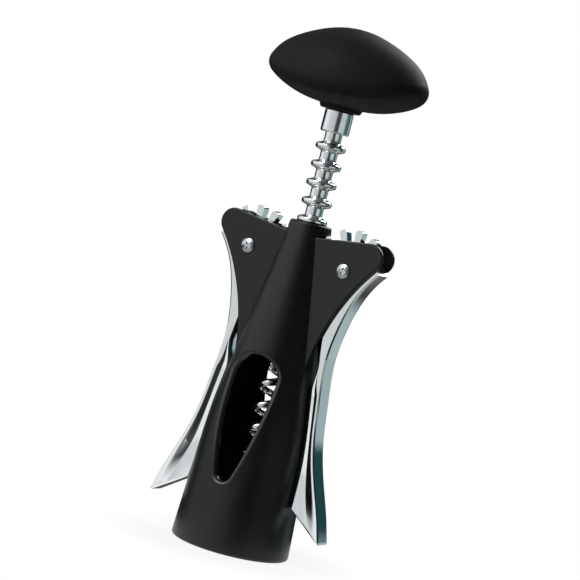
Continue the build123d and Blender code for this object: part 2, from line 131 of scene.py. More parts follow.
class Side(Enum):
    """The two sides of the body, with the sign of X on each."""

    LEFT = -1
    RIGHT = 1

    @property
    def label(self) -> str:
        """The side's word in the names of nodes and pieces."""
        return self.name.lower()


def linear(hex_colour: str) -> Colour:
    """Turn an sRGB hex colour into linear RGBA.

    Args:
        hex_colour: six hex digits after a hash sign.

    Returns:
        Linear red, green, blue and an alpha of 1.
    """
    channels = [int(hex_colour[i : i + 2], 16) / 255 for i in (1, 3, 5)]
    values = [c / 12.92 if c <= 0.04045 else ((c + 0.055) / 1.055) ** 2.4 for c in channels]
    return (values[0], values[1], values[2], 1.0)


def per_mm(size: float) -> float:
    """Scale of a texture whose features are this many millimetres across."""
    return 1.0 / (size * MM)


def add_node(tree: bpy.types.NodeTree, kind: str, inputs: dict | None = None, **settings: Any) -> Any:
    """Add a node to a tree, with its settings, its socket values and its links.

    Args:
        tree: shader or geometry tree.
        kind: Blender's name for the type of node.
        inputs: for an input's name or index, the output to link or the value to set.
        **settings: properties of the node itself.

    Returns:
        The new node.
    """
    node = tree.nodes.new(kind)
    for name, value in settings.items():
        setattr(node, name, value)
    for key, value in (inputs or {}).items():
        if isinstance(value, bpy.types.NodeSocket):
            tree.links.new(value, node.inputs[key])
        else:
            node.inputs[key].default_value = value
    return node


@dataclass(frozen=True)
class Finish:
    """A finish: a principled shader whose constants are set on its own sockets.

    The gloss is the two shares of the roughness that its pattern spreads it between, the bump is the
    share of the relief that is used, and the depth is the relief's height in millimetres. What has no
    pattern is even all over.
    """

    name: str
    colour: str
    roughness: float
    metallic: float = 0.0
    specular: float = 0.5
    gloss: Point = (1.0, 1.0)
    gloss_pattern: Pattern | None = None
    bump: float = 0.0
    depth: float = 0.0
    relief_pattern: Pattern | None = None
    second_colour: str = ""
    tint_pattern: Pattern | None = None

    def build(self) -> bpy.types.Material:
        """Make the material.

        Returns:
            A material with the finish's nodes.
        """
        material = bpy.data.materials.new(self.name)
        material.use_nodes = True
        tree = material.node_tree
        tree.nodes.clear()
        shader = add_node(
            tree,
            "ShaderNodeBsdfPrincipled",
            {
                "Base Color": linear(self.colour),
                "Roughness": self.roughness,
                "Metallic": self.metallic,
                "Specular IOR Level": self.specular,
            },
        )
        add_node(tree, "ShaderNodeOutputMaterial", {"Surface": shader.outputs["BSDF"]})
        if self.gloss_pattern:
            low, high = (self.roughness * share for share in self.gloss)
            drawn = self.draw(tree, self.gloss_pattern)
            rough = add_node(tree, "ShaderNodeMix", {0: drawn, 2: low, 3: high}, data_type="FLOAT")
            tree.links.new(rough.outputs[0], shader.inputs["Roughness"])
        if self.relief_pattern:
            drawn = self.draw(tree, self.relief_pattern)
            relief = {"Strength": self.bump, "Distance": self.depth * MM, "Height": drawn}
            raised = add_node(tree, "ShaderNodeBump", relief)
            tree.links.new(raised.outputs["Normal"], shader.inputs["Normal"])
        if self.tint_pattern:
            drawn = self.draw(tree, self.tint_pattern)
            colours = {6: linear(self.colour), 7: linear(self.second_colour)}
            tint = add_node(tree, "ShaderNodeMix", {0: drawn, **colours}, data_type="RGBA")
            tree.links.new(tint.outputs[2], shader.inputs["Base Color"])
        return material

    def draw(self, tree: bpy.types.NodeTree, pattern: Pattern) -> bpy.types.NodeSocket:
        """Draw a cloudy pattern on the piece's own coordinates.

        Args:
            tree: the material's tree.
            pattern: size of the clouds and their octaves of detail.

        Returns:
            The pattern's output, from 0 to 1.
        """
        size, detail = pattern
        place = add_node(tree, "ShaderNodeTexCoord").outputs["Object"]
        clouds = {"Vector": place, "Scale": per_mm(size), "Detail": detail}
        return add_node(tree, "ShaderNodeTexNoise", clouds).outputs["Fac"]


@dataclass(frozen=True)
class StovedEnamel(Finish):
    """Black stoving enamel sprayed on a zinc die casting: satin, with a faint orange peel.

    Real peel is about 0.3 mm across, too fine for the render, so it is drawn coarser. The black and
    its gloss cloud a little over broader patches.
    """

    gloss: Point = (0.917, 1.083)
    gloss_pattern: Pattern = (14.0, 3.0)
    bump: float = 0.10
    depth: float = 0.06
    relief_pattern: Pattern = (1.1, 2.0)
    second_colour: str = "#0d0e0e"
    tint_pattern: Pattern = (14.0, 3.0)


@dataclass(frozen=True)
class MouldedKnob(Finish):
    """Black ABS moulded in a spark-eroded tool: matt, with an even fine grain.

    The real grain is finer than the render can show, so it is drawn coarser.
    """

    gloss: Point = (0.927, 1.073)
    gloss_pattern: Pattern = (0.6, 4.0)
    bump: float = 0.12
    depth: float = 0.04
    relief_pattern: Pattern = (0.6, 4.0)
    second_colour: str = "#1c1c1d"
    tint_pattern: Pattern = (18.0, 2.0)


@dataclass(frozen=True)
class ChromedCasting(Finish):
    """Chrome plate on a polished zinc casting: a mirror that wavers slightly from hand polishing.

    Its gloss varies in smaller patches, as handling leaves it.
    """

    gloss: Point = (0.7, 1.4)
    gloss_pattern: Pattern = (5.0, 5.0)
    bump: float = 0.02
    depth: float = 0.2
    relief_pattern: Pattern = (9.0, 1.0)


@dataclass(frozen=True)
class PlainStock(Finish):
    """Stock that was drawn, pressed or moulded to shape: an even surface with small dull patches."""

    gloss: Point = (0.75, 1.35)
    gloss_pattern: Pattern = (1.5, 4.0)
    bump: float = 0.06
    depth: float = 0.02
    relief_pattern: Pattern = (1.5, 4.0)


@dataclass(frozen=True)
class TurnedMetal(Finish):
    """Plated bar turned on a lathe: bright, with rings left by the tool.

    The rings are much coarser than the real ones, so that they show.
    """

    gloss: Point = (0.8, 1.3)
    gloss_pattern: Pattern = (3.14, 0.4)
    bump: float = 0.04
    depth: float = 0.02
    relief_pattern: Pattern = (3.14, 0.4)

    def draw(self, tree: bpy.types.NodeTree, pattern: Pattern) -> bpy.types.NodeSocket:
        """Draw the tool's rings across Z.

        Args:
            tree: the material's tree.
            pattern: spacing of the rings and how far they waver.

        Returns:
            The pattern's output, from 0 to 1.
        """
        spacing, waver = pattern
        place = add_node(tree, "ShaderNodeTexCoord").outputs["Object"]
        scale = 2 * math.pi * per_mm(spacing) / WAVE_RADIANS
        rings = {"Vector": place, "Scale": scale, "Distortion": waver}
        wave = add_node(tree, "ShaderNodeTexWave", rings, wave_type="BANDS", bands_direction="Z")
        return wave.outputs["Fac"]


FINISHES = {
    # Sprayed black with a satin sheen that softens what it mirrors.
    Slot.CASTING: StovedEnamel("stoved_enamel_black", "#0a0a0b", 0.36, specular=0.42),
    # Moulded black, duller than the body, with hardly a highlight.
    Slot.KNOB: MouldedKnob("moulded_abs_black", "#1a1a1b", 0.55, specular=0.09),
    # Polished and plated: a cool mirror, with dark streaks from the black body.
    Slot.LEVER: ChromedCasting("chromed_zinc_casting", "#eef0f0", 0.07, 1.0),
    # Turned and plated: a mirror drawn out into bands along the shaft.
    Slot.SPINDLE: TurnedMetal("chromed_turned_steel", "#e6e9e9", 0.08, 1.0),
    # Nickel on drawn wire: bright and a little warm.
    Slot.WORM: PlainStock("nickelled_steel_wire", "#d9d8d5", 0.14, 1.0),
    # Zinc on headed screws and nuts: bright grey with a soft sheen.
    Slot.SCREW: PlainStock("zinc_plated_steel", "#cfd2d4", 0.22, 1.0),
    # Bare yellow brass, dulled a little.
    Slot.BRASS: PlainStock("turned_brass", "#c9a45a", 0.25, 1.0),
    # Undyed nylon: off-white and waxy.
    Slot.NYLON: PlainStock("natural_nylon", "#e3dfd2", 0.45),
}

# Painted shade: inside the bell the enamel is given a darker, duller black, which keeps the view through
# the window dark.
OVERSPRAY = Finish("enamel_overspray_black", "#050505", 0.85, specular=0.1)
# Painted highlight: on the window's rim the enamel is glossier and painted a lighter black, which draws the
# rim as a pale line.
RUBBED_RIM = Finish("rubbed_enamel_black", "#1c1d1d", 0.3, specular=0.75)


def new_piece(name: str, bm: bmesh.types.BMesh) -> bpy.types.Object:
    """Turn a bmesh into an object at the origin, and free the bmesh.

    Args:
        name: name of the piece.
        bm: its mesh, in metres, in the frame.

    Returns:
        The linked object.
    """
    mesh = bpy.data.meshes.new(name)
    bm.to_mesh(mesh)
    bm.free()
    piece = bpy.data.objects.new(name, mesh)
    bpy.context.scene.collection.objects.link(piece)
    return piece


def settle(piece: bpy.types.Object) -> bpy.types.Object:
    """Turn a piece's modifiers into plain mesh.

    Args:
        piece: an object with modifiers.

    Returns:
        The same object, with the result as its mesh and no modifiers.
    """
    graph = bpy.context.evaluated_depsgraph_get()
    shaped = bpy.data.meshes.new_from_object(
        piece.evaluated_get(graph), preserve_all_data_layers=True, depsgraph=graph
    )
    old = piece.data
    piece.modifiers.clear()
    piece.data = shaped
    bpy.data.meshes.remove(old)
    shaped.name = piece.name
    return piece


def is_plate(face: bmesh.types.BMFace) -> bool:
    """Whether a face is part of a flat that looks straight forward or back, off the body's axis."""
    return abs(face.normal.y) > PLATE_FACING and abs(face.calc_center_median().x) > PLATE_REACH * MM


def crease(bm: bmesh.types.BMesh, degrees: float) -> None:
    """Shade a mesh smooth, with sharp edges round its flats and where it turns sharply.

    Args:
        bm: mesh to shade.
        degrees: angle past which an edge stays sharp.
    """
    bm.normal_update()
    for face in bm.faces:
        face.smooth = True
    for edge in bm.edges:
        plates = {is_plate(face) for face in edge.link_faces}
        edge.smooth = len(plates) == 1 and edge.calc_face_angle(math.pi) < math.radians(degrees)


def even_normals(piece: bpy.types.Object) -> bpy.types.Object:
    """Weigh a piece's normals by face area, so that flats stay flat beside small rounds.

    Args:
        piece: a shaded piece.

    Returns:
        The same piece.
    """
    weigh = piece.modifiers.new("weigh_normals", "WEIGHTED_NORMAL")
    weigh.keep_sharp = True
    weigh.weight = FACE_WEIGHT
    return settle(piece)


def merged_copy(node: bpy.types.Object) -> bmesh.types.BMesh:
    """Copy a solid of the frame as one merged mesh.

    Args:
        node: object of the frame.

    Returns:
        Its mesh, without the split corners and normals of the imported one.
    """
    source = bmesh.new()
    source.from_mesh(node.data)
    bmesh.ops.remove_doubles(source, verts=source.verts, dist=MERGE_DISTANCE)
    source.verts.index_update()
    bm = bmesh.new()
    verts = [bm.verts.new(vert.co) for vert in source.verts]
    for face in source.faces:
        bm.faces.new([verts[vert.index] for vert in face.verts])
    source.free()
    bm.verts.index_update()
    return bm


def smooth_copy(node: bpy.types.Object, name: str) -> bpy.types.Object:
    """Copy a solid of the frame as a smooth piece.

    Args:
        node: object of the frame.
        name: name of the new piece.

    Returns:
        The new piece.
    """
    bm = merged_copy(node)
    crease(bm, SHARP_DEGREES)
    return even_normals(new_piece(name, bm))


def close_up(piece: bpy.types.Object, degrees: float) -> bpy.types.Object:
    """Merge a piece's seams, turn its faces outwards and shade it.

    Args:
        piece: a piece made of closed shells.
        degrees: angle past which an edge stays sharp.

    Returns:
        The same piece.
    """
    bm = bmesh.new()
    bm.from_mesh(piece.data)
    bmesh.ops.remove_doubles(bm, verts=bm.verts, dist=MERGE_DISTANCE)
    bmesh.ops.recalc_face_normals(bm, faces=bm.faces)
    crease(bm, degrees)
    bm.to_mesh(piece.data)
    bm.free()
    return even_normals(piece)


def rounded(corners: Sequence[tuple[float, float, float]], steps: int = 6) -> list[Point]:
    """Outline through corners that are rounded.

    Args:
        corners: X, Y and the radius of each corner; the ends have a radius of 0.
        steps: pieces of each rounding.

    Returns:
        Points of the outline.
    """
    points: list[Point] = []
    for index, (x, y, radius) in enumerate(corners):
        if radius == 0.0:
            points.append((x, y))
            continue
        here = Vector((x, y))
        before = (Vector(corners[index - 1][:2]) - here).normalized()
        after = (Vector(corners[index + 1][:2]) - here).normalized()
        half = before.angle(after) / 2
        centre = here + (before + after).normalized() * radius / math.sin(half)
        start = here + before * radius / math.tan(half) - centre
        end = here + after * radius / math.tan(half) - centre
        for step in range(steps + 1):
            spoke = start.lerp(end, step / steps).normalized() * radius
            points.append((centre.x + spoke.x, centre.y + spoke.y))
    return points


def lathe(
    bm: bmesh.types.BMesh, profile: Sequence[Point], segments: int = 72
) -> list[list[bmesh.types.BMVert]]:
    """Turn a profile about Z.

    Args:
        bm: mesh to add to.
        profile: radius and height of each point, in millimetres, from the top down.
        segments: faces around.

    Returns:
        The rings of vertices, in the profile's order.
    """
    rings = []
    for radius, height in profile:
        angles = [2 * math.pi * step / segments for step in range(segments)]
        spots = [(radius * math.cos(a) * MM, radius * math.sin(a) * MM, height * MM) for a in angles]
        rings.append([bm.verts.new(spot) for spot in spots])
    skin(bm, rings)
    return rings


def skin(bm: bmesh.types.BMesh, rings: Sequence[Sequence[bmesh.types.BMVert]]) -> None:
    """Join closed rings of vertices with faces.

    Args:
        bm: mesh that the rings are in.
        rings: rings of one count of vertices, in order.
    """
    for upper, lower in zip(rings, rings[1:]):
        for step, vert in enumerate(upper):
            after = (step + 1) % len(upper)
            bm.faces.new((vert, lower[step], lower[after], upper[after]))


def zip_rings(
    bm: bmesh.types.BMesh, upper: Sequence[bmesh.types.BMVert], lower: Sequence[bmesh.types.BMVert]
) -> None:
    """Join two closed rings of vertices about Z, whatever their counts.

    Args:
        bm: mesh that the rings are in.
        upper: vertices of one ring, in any order.
        lower: vertices of the other, whose middle the rings go round.
    """
    centre = sum((vert.co for vert in lower), Vector()) / len(lower)

    def bearing(vert: bmesh.types.BMVert) -> float:
        """Angle of a vertex about the rings' middle."""
        return math.atan2(vert.co.y - centre.y, vert.co.x - centre.x)

    tops = sorted(upper, key=bearing)
    bottoms = sorted(lower, key=bearing)
    top = bottom = 0
    while top < len(tops) or bottom < len(bottoms):
        here, below = tops[top % len(tops)], bottoms[bottom % len(bottoms)]
        later = bearing(tops[top + 1]) if top + 1 < len(tops) else math.inf
        later_below = bearing(bottoms[bottom + 1]) if bottom + 1 < len(bottoms) else math.inf
        if bottom >= len(bottoms) or (top < len(tops) and later <= later_below):
            bm.faces.new((here, below, tops[(top + 1) % len(tops)]))
            top += 1
        else:
            bm.faces.new((here, below, bottoms[(bottom + 1) % len(bottoms)]))
            bottom += 1


def rim_of(bm: bmesh.types.BMesh) -> list[bmesh.types.BMVert]:
    """Vertices along a mesh's open edge."""
    return list({vert for edge in bm.edges if edge.is_boundary for vert in edge.verts})


def smooth_curve(points: Sequence[Point]) -> Callable[[float], float]:
    """Natural cubic curve through points.

    Args:
        points: pairs of place and value, in rising order of place.

    Returns:
        A function that gives the value at a place.
    """
    places = np.array([place for place, _ in points])
    values = np.array([value for _, value in points])
    gaps = np.diff(places)
    slopes = np.diff(values) / gaps
    count = len(points)
    system = np.eye(count)
    target = np.zeros(count)
    for row in range(1, count - 1):
        system[row, row - 1 : row + 2] = gaps[row - 1], 2 * (gaps[row - 1] + gaps[row]), gaps[row]
        target[row] = 6 * (slopes[row] - slopes[row - 1])
    bends = np.linalg.solve(system, target)

    def value_at(place: float) -> float:
        """Work out the curve's value.

        Args:
            place: place along the curve.

        Returns:
            Value there.
        """
        span = int(np.clip(np.searchsorted(places, place) - 1, 0, count - 2))
        gap = gaps[span]
        left = (places[span + 1] - place) / gap
        right = 1 - left
        bow = ((left**3 - left) * bends[span] + (right**3 - right) * bends[span + 1]) * gap**2 / 6
        return float(left * values[span] + right * values[span + 1] + bow)

    return value_at


def new_tree(name: str, inputs: dict[str, str]) -> tuple[bpy.types.NodeTree, Any]:
    """Start a geometry tree.

    Args:
        name: name of the tree.
        inputs: for each named input, its type of socket.

    Returns:
        The tree and its input node.
    """
    tree = bpy.data.node_groups.new(name, "GeometryNodeTree")
    tree.interface.new_socket("Geometry", in_out="INPUT", socket_type="NodeSocketGeometry")
    for label, kind in inputs.items():
        tree.interface.new_socket(label, in_out="INPUT", socket_type=kind)
    tree.interface.new_socket("Geometry", in_out="OUTPUT", socket_type="NodeSocketGeometry")
    return tree, add_node(tree, "NodeGroupInput")


def end_tree(tree: bpy.types.NodeTree, geometry: Any, material: Any) -> None:
    """End a geometry tree: realise its copies and give them their material.

    Args:
        tree: geometry tree.
        geometry: output that holds the finished shape.
        material: output that holds the material.
    """
    real = add_node(tree, "GeometryNodeRealizeInstances", {"Geometry": geometry})
    coated = add_node(
        tree, "GeometryNodeSetMaterial", {"Geometry": real.outputs[0], "Material": material}
    )
    add_node(tree, "NodeGroupOutput", {"Geometry": coated.outputs[0]})


def grow(piece: bpy.types.Object, tree: bpy.types.NodeTree, values: dict[str, Any]) -> bpy.types.Object:
    """Run a geometry tree on a piece and keep the result as its mesh.

    Args:
        piece: object that the tree starts from.
        tree: geometry tree.
        values: for each named input, its value.

    Returns:
        The same piece, with a plain mesh.
    """
    modifier = piece.modifiers.new(tree.name, "NODES")
    modifier.node_group = tree
    for item in tree.interface.items_tree:
        if item.in_out == "INPUT" and item.name in values:
            modifier[item.identifier] = values[item.name]
    return settle(piece)


def copies_tree() -> bpy.types.NodeTree:
    """Tree that stands a copy of an object on each point, turned about Y by a seeded draw.

    Returns:
        The tree, with inputs Original, Seed and Material.
    """
    tree, entry = new_tree(
        "copies_on_points",
        {"Original": "NodeSocketObject", "Seed": "NodeSocketInt", "Material": "NodeSocketMaterial"},
    )
    original = add_node(tree, "GeometryNodeObjectInfo", {"Object": entry.outputs["Original"]})
    turn = add_node(
        tree,
        "FunctionNodeRandomValue",
        {0: (0.0, 0.0, 0.0), 1: (0.0, math.pi, 0.0), "Seed": entry.outputs["Seed"]},
        data_type="FLOAT_VECTOR",
    )
    facing = add_node(tree, "FunctionNodeEulerToRotation", {"Euler": turn.outputs[0]})
    copies = add_node(
        tree,
        "GeometryNodeInstanceOnPoints",
        {
            "Points": entry.outputs["Geometry"],
            "Instance": original.outputs["Geometry"],
            "Rotation": facing.outputs[0],
        },
    )
    end_tree(tree, copies.outputs[0], entry.outputs["Material"])
    return tree


def dress(piece: bpy.types.Object, material: bpy.types.Material) -> None:
    """Give a piece one material."""
    piece.data.materials.clear()
    piece.data.materials.append(material)


def seat(piece: bpy.types.Object, body: Body, nodes: Iterable[str]) -> None:
    """Ride a piece on its body and the solids that it stands for.

    Args:
        piece: the finished piece.
        body: body that carries it.
        nodes: nodes of the frame that it replaces.
    """
    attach(piece, body.value)
    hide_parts(*nodes)
    LOG.info("%s: %d faces on %s", piece.name, len(piece.data.polygons), body.value)


@dataclass
class BodyCasting:
    """The enamelled bell, tube, collar and ears.

    Lengths are in millimetres. The two turns are how far a face looks out from the axis, from -1 to 1:
    the cavity's faces look in past the first, and a window's rim is turned away past the second.
    """

    node: str = "body_casting"
    cavity_height: float = 73.0
    inward: float = -0.4
    rim_reach: float = 9.5
    rim_heights: Point = (18.0, 67.0)
    rim_turn: float = 0.94

    def build(self, frame: dict, finishes: dict) -> None:
        """Make the casting's smooth skin and dress it, with painted shade in its cavity and a painted
        highlight on its windows' rims.

        Args:
            frame: the loaded frame.
            finishes: material of each slot.
        """
        piece = smooth_copy(frame["nodes"][self.node], "enamelled_body")
        dress(piece, finishes[Slot.CASTING])
        # Add the cavity's painted shade and the rims' painted highlight as further materials.
        for finish in (OVERSPRAY, RUBBED_RIM):
            piece.data.materials.append(finish.build())
        for face in piece.data.polygons:
            face.material_index = self.coat(face).value
        seat(piece, Body.FRAME, [self.node])

    def coat(self, face: bpy.types.MeshPolygon) -> Coat:
        """Choose a face's coat.

        Args:
            face: face of the casting.

        Returns:
            Painted shade in the cavity, the glossier coat with a painted highlight on a window's rim, and
            enamel elsewhere.
        """
        spot = face.center / MM
        facing = face.normal.xy.dot(spot.xy.normalized())
        # Faces that look into the cavity get the painted shade.
        if spot.z < self.cavity_height and facing < self.inward:
            return Coat.OVERSPRAY
        # Faces on a window's rim get the painted highlight.
        low, high = self.rim_heights
        on_rim = abs(spot.x) < self.rim_reach and low < spot.z < high
        return Coat.RUBBED_RIM if on_rim and facing < self.rim_turn else Coat.ENAMEL


@dataclass
class Lever:
    """A chromed lever: its toothed hub and shoulder as cast, and an arm that flares at its tip.

    The arm is a ridge along the outer edge, with a slope inside it that falls to a thinner web, whose
    drop under the ridge is given at some heights. Heights and lengths are in millimetres. The arm is
    worked on the right side and turned over for the left one.
    """

    side: Side
    splice_height: float = 67.5
    splice_gap: float = 0.4
    half_thickness: float = 3.7
    edge_round: float = 0.6
    heel_rise: float = 8.5
    slant_height: float = 38.0
    web_top: float = 65.8
    web_run: float = 10.0
    web_start: float = 0.03
    web_share: float = 0.35
    web_gap: float = 0.75
    web_drops: tuple[Point, ...] = (
        (8.0, 0.5),
        (20.0, 1.35),
        (30.0, 1.75),
        (40.0, 1.5),
        (50.0, 1.3),
        (68.0, 1.3),
    )
    ridge_width: float = 0.9
    slope_ease: float = 0.3
    ray_margin: float = 0.06
    ray_start: float = 100.0
    probe_steps: tuple[float, float, float] = (-1.5, 0.0, 1.5)
    sharp_degrees: float = 38.0
    edge_knots: int = 9
    ring_count: int = 80
    side_steps: int = 4
    corner_steps: int = 6
    face_steps: tuple[int, int, int] = (8, 16, 5)
    end_steps: int = 5

    def build(self, frame: dict, finishes: dict) -> None:
        """Make the lever, dress it and seat it on its body.

        Args:
            frame: the loaded frame.
            finishes: material of each slot.
        """
        node = f"lever_{self.side.label}"
        bm = self.right_hand(merged_copy(frame["nodes"][node]))
        solid = BVHTree.FromBMesh(bm)
        casting = BVHTree.FromBMesh(merged_copy(frame["nodes"]["body_casting"]))
        tip_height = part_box(node)[0].z / MM
        plane = {"plane_co": (0.0, 0.0, self.splice_height * MM), "plane_no": (0.0, 0.0, -1.0)}
        everything = [*bm.verts, *bm.edges, *bm.faces]
        bmesh.ops.bisect_plane(bm, geom=everything, dist=MERGE_DISTANCE, clear_outer=True, **plane)
        bmesh.ops.remove_doubles(bm, verts=bm.verts, dist=MERGE_DISTANCE)
        cut = rim_of(bm)
        rings = self.arm_rings(bm, solid, casting, tip_height)
        zip_rings(bm, cut, rings[0])
        skin(bm, rings)
        bm.faces.new(rings[-1])
        piece = new_piece(f"chromed_lever_{self.side.label}", self.right_hand(bm))
        close_up(piece, self.sharp_degrees)
        dress(piece, finishes[Slot.LEVER])
        body = Body.LEFT_LEVER if self.side is Side.LEFT else Body.RIGHT_LEVER
        seat(piece, body, [node])

    def right_hand(self, bm: bmesh.types.BMesh) -> bmesh.types.BMesh:
        """Turn a left lever's mesh over to the right side, or back; a right one stays.

        Args:
            bm: the lever's mesh.

        Returns:
            The same mesh.
        """
        for vert in bm.verts:
            vert.co.x *= self.side.value
        return bm

    def edge_at(self, solid: BVHTree, height: float, outer: bool) -> float:
        """Measure one of the solid's edges.

        Args:
            solid: the frame's lever.
            height: height to measure at.
            outer: whether it is the outer edge or the inner one.

        Returns:
            X of the edge.
        """
        start = Vector((self.ray_start * MM if outer else 0.0, 0.0, height * MM))
        hit = solid.ray_cast(start, Vector((-1.0 if outer else 1.0, 0.0, 0.0)))
        return hit[0].x / MM

    def arm_rings(
        self, bm: bmesh.types.BMesh, solid: BVHTree, casting: BVHTree, tip_height: float
    ) -> list[list[bmesh.types.BMVert]]:
        """Make the arm's rings, from the splice down to the tip.

        Args:
            bm: mesh that takes the vertices.
            solid: the frame's lever, which the arm's edges are measured on.
            casting: the frame's body, which the web reaches in towards.
            tip_height: height of the arm's lowest point.

        Returns:
            Rings of one count of vertices, each along a straight section of the arm.
        """
        heel = tip_height + self.heel_rise
        top = self.splice_height - self.splice_gap
        lowest = tip_height + self.ray_margin
        knots = np.linspace(lowest, self.splice_height + self.web_run, self.edge_knots)
        outer_edge = smooth_curve([(z, self.edge_at(solid, z, True)) for z in knots])
        drop_at = smooth_curve(self.web_drops)
        rings = []
        for height in np.linspace(top, heel, self.ring_count):
            slant = max(0.0, (self.slant_height - height) / (self.slant_height - heel))
            outer_height = height - self.heel_rise * slant**2
            probes = [min(max(height + step, heel + self.ray_margin), top) for step in self.probe_steps]
            inner_x = sum(self.edge_at(solid, z, False) for z in probes) / len(probes)
            opened = min(max((self.web_top - height) / self.web_run, self.web_start), 1.0)
            wall = casting.ray_cast(Vector((inner_x, 0.0, height)) * MM, Vector((-1.0, 0.0, 0.0)))
            room = inner_x - wall[0].x / MM - self.web_gap
            eased = opened * opened * (3 - 2 * opened)
            inner = Vector((inner_x - room * eased, height))
            outer = Vector((outer_edge(outer_height), outer_height))
            rings.append((inner, outer, drop_at(outer_height), opened))
        made = [self.ring(bm, *ring, 0.0) for ring in rings[:-1]]
        above, last = rings[-2], rings[-1]
        drop = (above[0] - last[0]).length
        for step in range(self.end_steps + 1):
            angle = math.pi / 2 * step / self.end_steps
            lift = self.edge_round * (1 - math.sin(angle)) / drop
            inner = last[0].lerp(above[0], lift)
            outer = last[1].lerp(above[1], lift)
            inset = self.edge_round * (1 - math.cos(angle))
            made.append(self.ring(bm, inner, outer, last[2], last[3], inset))
        return made

    def ring(
        self, bm: bmesh.types.BMesh, inner: Vector, outer: Vector, drop: float, opened: float, inset: float
    ) -> list[bmesh.types.BMVert]:
        """Make one ring of the arm.

        Args:
            bm: mesh that takes the vertices.
            inner: X and height of the section's inner end.
            outer: X and height of its outer end.
            drop: how far the web lies under the ridge, once it has its full width.
            opened: share of the arm's width that the web and its slope have reached.
            inset: how far the outline is drawn in, at the arm's rounded end.

        Returns:
            The ring's vertices, in order.
        """
        width = (outer - inner).length
        along = (outer - inner).normalized()
        ring = []
        for reach, side in self.outline(width, drop, opened):
            reach = min(max(reach, inset), width - inset)
            side = math.copysign(max(abs(side) - inset, 0.0), side)
            spot = inner + along * reach
            ring.append(bm.verts.new((spot.x * MM, side * MM, spot.y * MM)))
        return ring

    def outline(self, width: float, drop: float, opened: float) -> list[Point]:
        """Outline of a section: rounded corners, a full ridge, a slope and a thinner web.

        Args:
            width: from the inner to the outer edge.
            drop: how far the web lies under the ridge, once it has its full width.
            opened: share of the arm's width that the web and its slope have reached.

        Returns:
            Distance from the inner edge and Y of each point, once around.
        """
        half, bend = self.half_thickness, self.edge_round
        brow = bend + (width - self.ridge_width - bend) * opened
        foot = bend + (brow - bend) * self.web_share
        stretches = zip((bend, foot, brow), (foot, brow, width - bend), self.face_steps)
        reaches = np.concatenate([np.linspace(*ends, steps, endpoint=False) for *ends, steps in stretches])
        quarter = [math.pi / 2 * step / self.corner_steps for step in range(self.corner_steps)]
        sides = [step / self.side_steps for step in range(self.side_steps)]
        front = [(0.0, -(half - bend) * share) for share in sides]
        front += [(bend - bend * math.cos(a), -(half - bend) - bend * math.sin(a)) for a in quarter]
        front += [(float(reach), -half) for reach in reaches]
        front += [(width - bend + bend * math.sin(a), bend - half - bend * math.cos(a)) for a in quarter]
        front += [(width, -(half - bend) * (1 - share)) for share in sides]
        cut = []
        for reach, side in front:
            sunk = drop * opened * (1 - self.rise((reach - foot) / (brow - foot)))
            cut.append((reach, side * (1 - sunk / half)))
        return cut + [(width, 0.0)] + [(reach, -side) for reach, side in reversed(cut[1:])]

    def rise(self, share: float) -> float:
        """Work out the slope's height, with both its ends eased.

        Args:
            share: share of the way from the slope's foot to its brow.

        Returns:
            Height, from 0 at the foot to 1 at the brow.
        """
        share = min(max(share, 0.0), 1.0)
        if share > 0.5:
            return 1 - self.rise(1 - share)
        ease = self.slope_ease
        if share < ease:
            return share**2 / (2 * ease * (1 - ease))
        return (share - ease / 2) / (1 - ease)


@dataclass
class Knob:
    """The moulded knob: one skin over its shell and underside, with a softened boss."""

    pocket_radius: float = 14.0
    boss_radius: float = 6.9
    boss_round: float = 0.9
    root_round: float = 0.8
    dish_start: float = 13.7
    dish_end: float = 8.2
    dish_steps: int = 12
    roof_slope: float = 0.3
    probe_drop: float = 1.0

    def build(self, frame: dict, finishes: dict) -> None:
        """Open the shell's pocket, close it with the underside's surface and dress the whole.

        Args:
            frame: the loaded frame.
            finishes: material of each slot.
        """
        bm = merged_copy(frame["nodes"]["knob_shell"])
        bm.normal_update()
        reach = self.pocket_radius * MM + MERGE_DISTANCE
        pocket = [
            face
            for face in bm.faces
            if face.normal.z < self.roof_slope and all(v.co.xy.length < reach for v in face.verts)
        ]
        bmesh.ops.delete(bm, geom=pocket, context="FACES")
        rim = rim_of(bm)
        base = BVHTree.FromBMesh(merged_copy(frame["nodes"]["knob_base"]))
        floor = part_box("knob_base")[0].z / MM
        radii = np.linspace(self.dish_start, self.dish_end, self.dish_steps)
        dish = [(radius, self.dish_height(base, radius, floor)) for radius in radii]
        boss_top = dish[-1][1]
        profile = rounded(
            [
                *((radius, height, 0.0) for radius, height in dish),
                (self.boss_radius, boss_top, self.root_round),
                (self.boss_radius, floor, self.boss_round),
                (0.0, floor, 0.0),
            ]
        )
        zip_rings(bm, rim, lathe(bm, profile)[0])
        piece = close_up(new_piece("moulded_knob", bm), SHARP_DEGREES)
        dress(piece, finishes[Slot.KNOB])
        seat(piece, Body.SPINDLE, ["knob_shell", "knob_base"])

    def dish_height(self, base: BVHTree, radius: float, floor: float) -> float:
        """Measure the underside, up from below the boss.

        Args:
            base: the frame's underside plate.
            radius: radius to measure at.
            floor: height of the boss's lower face.

        Returns:
            Height of the underside there.
        """
        below = Vector((radius, 0.0, floor - self.probe_drop)) * MM
        hit = base.ray_cast(below, Vector((0.0, 0.0, 1.0)))
        return hit[0].z / MM


